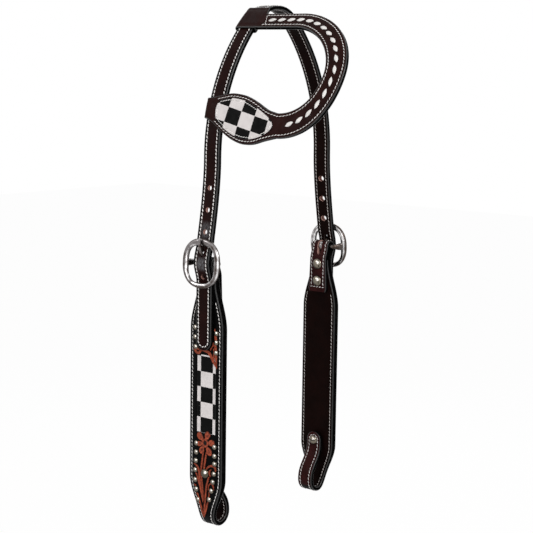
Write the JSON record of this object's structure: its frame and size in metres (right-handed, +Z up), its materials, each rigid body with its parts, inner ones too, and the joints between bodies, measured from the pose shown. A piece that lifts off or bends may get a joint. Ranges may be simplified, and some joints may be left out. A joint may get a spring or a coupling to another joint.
{
  "type": "western headstall",
  "caption": "Western headstall with a sliding shaped ear piece on the crown strap and buckled, wide tooled cheeks whose ends fold into bit loops closed by screws.",
  "frame": {"origin": "middle of the flat top of the crown strap's underside, where it rests behind the horse's ears", "axes": "+Z up; +X forward, to the side that the ear piece bulges; +Y to the side without the ear piece, the one called left"},
  "size_m": [0.1483, 0.1876, 0.4563],
  "materials": {
    "brown_leather": "smooth dark brown bridle leather, waxed",
    "ear_leather": "smooth reddish dark brown bridle leather, waxed",
    "dark_lining": "very dark brown lining leather, matt",
    "black_leather": "black dyed leather with a tooled, antiqued front",
    "check_leather": "white leather painted with black squares",
    "lace_rawhide": "white rawhide lace",
    "stainless_steel": "polished stainless steel",
    "antique_nickel": "aged nickel over brass"
  },
  "bodies": {
    "headstall": {"crown_face": "brown_leather", "crown_lining": "dark_lining", "right_buckle_frame": "stainless_steel", "left_buckle_frame": "stainless_steel"},
    "ear_piece": {"ear_face": "ear_leather", "ear_lining": "dark_lining", "ear_inlay": "check_leather", "ear_lacing": "lace_rawhide"},
    "right_cheek": {"right_cheek_face": "black_leather", "right_cheek_lining": "dark_lining", "right_cheek_panel": "check_leather", "right_cheek_spot_01": "antique_nickel", "right_cheek_spot_02": "antique_nickel", "right_cheek_spot_03": "antique_nickel", "right_cheek_spot_04": "antique_nickel", "right_cheek_spot_05": "antique_nickel", "right_cheek_spot_06": "antique_nickel", "right_cheek_spot_07": "antique_nickel", "right_cheek_spot_08": "antique_nickel", "right_cheek_spot_09": "antique_nickel", "right_cheek_spot_10": "antique_nickel", "right_cheek_spot_11": "antique_nickel", "right_cheek_spot_12": "antique_nickel", "right_cheek_spot_13": "antique_nickel", "right_cheek_spot_14": "antique_nickel", "right_cheek_spot_15": "antique_nickel", "right_cheek_spot_16": "antique_nickel", "right_cheek_spot_17": "antique_nickel", "right_cheek_spot_18": "antique_nickel", "right_neck_rivet_upper": "antique_nickel", "right_neck_rivet_lower": "antique_nickel", "right_bit_screw_post": "antique_nickel"},
    "right_tongue": {"right_tongue": "stainless_steel"},
    "right_bit_screw": {"right_bit_screw": "antique_nickel"},
    "left_cheek": {"left_cheek_face": "black_leather", "left_cheek_lining": "dark_lining", "left_cheek_panel": "check_leather", "left_cheek_spot_01": "antique_nickel", "left_cheek_spot_02": "antique_nickel", "left_cheek_spot_03": "antique_nickel", "left_cheek_spot_04": "antique_nickel", "left_cheek_spot_05": "antique_nickel", "left_cheek_spot_06": "antique_nickel", "left_cheek_spot_07": "antique_nickel", "left_cheek_spot_08": "antique_nickel", "left_cheek_spot_09": "antique_nickel", "left_cheek_spot_10": "antique_nickel", "left_cheek_spot_11": "antique_nickel", "left_cheek_spot_12": "antique_nickel", "left_cheek_spot_13": "antique_nickel", "left_cheek_spot_14": "antique_nickel", "left_cheek_spot_15": "antique_nickel", "left_cheek_spot_16": "antique_nickel", "left_cheek_spot_17": "antique_nickel", "left_cheek_spot_18": "antique_nickel", "left_neck_rivet_upper": "antique_nickel", "left_neck_rivet_lower": "antique_nickel", "left_bit_screw_post": "antique_nickel"},
    "left_tongue": {"left_tongue": "stainless_steel"},
    "left_bit_screw": {"left_bit_screw": "antique_nickel"}
  },
  "joints": [
    {"name": "ear_slide", "type": "hinge", "parent": "headstall", "child": "ear_piece", "pos_m": [0, 0.08616, -0.12745], "axis": [1, 0, 0], "range_deg": [-0.9, 3.5]},
    {"name": "right_cheek_swing", "type": "hinge", "parent": "headstall", "child": "right_cheek", "pos_m": [0, -0.0815, -0.217], "axis": [1, 0, 0], "range_deg": [0, 30]},
    {"name": "right_tongue_swing", "type": "hinge", "parent": "headstall", "child": "right_tongue", "pos_m": [0, -0.0815, -0.217], "axis": [1, 0, 0], "range_deg": [0, 6]},
    {"name": "right_bit_screw_turn", "type": "hinge", "parent": "right_cheek", "child": "right_bit_screw", "pos_m": [0, -0.0815, -0.404], "axis": [0, 1, 0], "continuous": true},
    {"name": "left_cheek_swing", "type": "hinge", "parent": "headstall", "child": "left_cheek", "pos_m": [0, 0.0815, -0.217], "axis": [1, 0, 0], "range_deg": [-30, 0]},
    {"name": "left_tongue_swing", "type": "hinge", "parent": "headstall", "child": "left_tongue", "pos_m": [0, 0.0815, -0.217], "axis": [1, 0, 0], "range_deg": [-6, 0]},
    {"name": "left_bit_screw_turn", "type": "hinge", "parent": "left_cheek", "child": "left_bit_screw", "pos_m": [0, 0.0815, -0.404], "axis": [0, 1, 0], "continuous": true}
  ]
}
